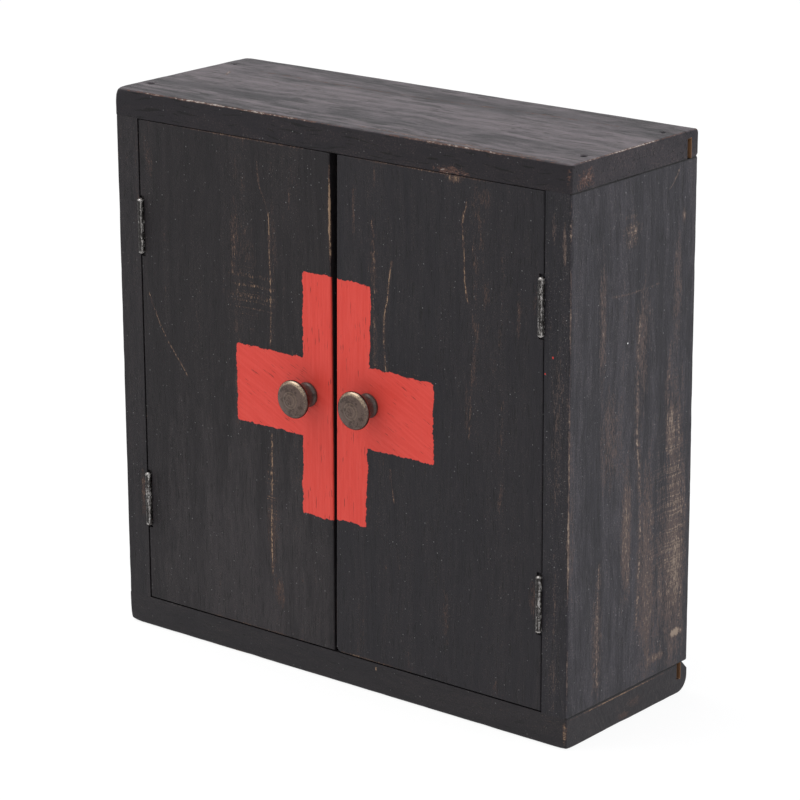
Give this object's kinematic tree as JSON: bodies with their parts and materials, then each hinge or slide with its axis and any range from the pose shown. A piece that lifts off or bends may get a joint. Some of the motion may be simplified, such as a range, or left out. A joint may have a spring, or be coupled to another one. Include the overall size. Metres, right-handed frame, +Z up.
{
  "type": "medicine cabinet",
  "caption": "Square wooden wall cabinet with flush double doors on butt hinges, turned knobs and shelves inside.",
  "frame": {"origin": "middle of the underside of the bottom board", "axes": "+Z up, the doors face -Y, +X to the right of someone who faces the doors"},
  "size_m": [0.45, 0.182, 0.45],
  "materials": {
    "black_paint": "worn satin black paint over brown solid wood",
    "hinge_steel": "worn steel with remains of black paint",
    "screw_steel": "dull steel",
    "knob_brass": "dark antique brass, rubbed bright at the rim",
    "catch_plastic": "dark brown plastic",
    "magnet": "dark ferrite",
    "keeper_steel": "zinc plated"
  },
  "bodies": {
    "carcass": {"back_panel": "black_paint", "bottom_board": "black_paint", "bottom_screws": "screw_steel", "catch_screws": "screw_steel", "left_catch_housing": "catch_plastic", "left_catch_magnet": "magnet", "left_cleat_nails": "screw_steel", "left_frame_hinge_screws": "screw_steel", "left_lower_hinge_frame_leaf": "hinge_steel", "left_lower_hinge_pin": "hinge_steel", "left_side": "black_paint", "left_upper_hinge_frame_leaf": "hinge_steel", "left_upper_hinge_pin": "hinge_steel", "lower_left_cleat": "black_paint", "lower_right_cleat": "black_paint", "lower_shelf": "black_paint", "right_catch_housing": "catch_plastic", "right_catch_magnet": "magnet", "right_cleat_nails": "screw_steel", "right_frame_hinge_screws": "screw_steel", "right_lower_hinge_frame_leaf": "hinge_steel", "right_lower_hinge_pin": "hinge_steel", "right_side": "black_paint", "right_upper_hinge_frame_leaf": "hinge_steel", "right_upper_hinge_pin": "hinge_steel", "top_board": "black_paint", "top_screws": "screw_steel", "upper_left_cleat": "black_paint", "upper_right_cleat": "black_paint", "upper_shelf": "black_paint"},
    "left_door": {"left_door_hinge_screws": "screw_steel", "left_door_panel": "black_paint", "left_keeper": "keeper_steel", "left_keeper_screw": "screw_steel", "left_knob": "knob_brass", "left_knob_screw": "screw_steel", "left_lower_hinge_door_leaf": "hinge_steel", "left_upper_hinge_door_leaf": "hinge_steel"},
    "right_door": {"right_door_hinge_screws": "screw_steel", "right_door_panel": "black_paint", "right_keeper": "keeper_steel", "right_keeper_screw": "screw_steel", "right_knob": "knob_brass", "right_knob_screw": "screw_steel", "right_lower_hinge_door_leaf": "hinge_steel", "right_upper_hinge_door_leaf": "hinge_steel"}
  },
  "joints": [
    {"name": "left_door_hinge", "type": "hinge", "parent": "carcass", "child": "left_door", "pos_m": [-0.1991, -0.081, 0.225], "axis": [0, 0, -1], "range_deg": [0, 175]},
    {"name": "right_door_hinge", "type": "hinge", "parent": "carcass", "child": "right_door", "pos_m": [0.1991, -0.081, 0.225], "axis": [0, 0, 1], "range_deg": [0, 175]}
  ]
}
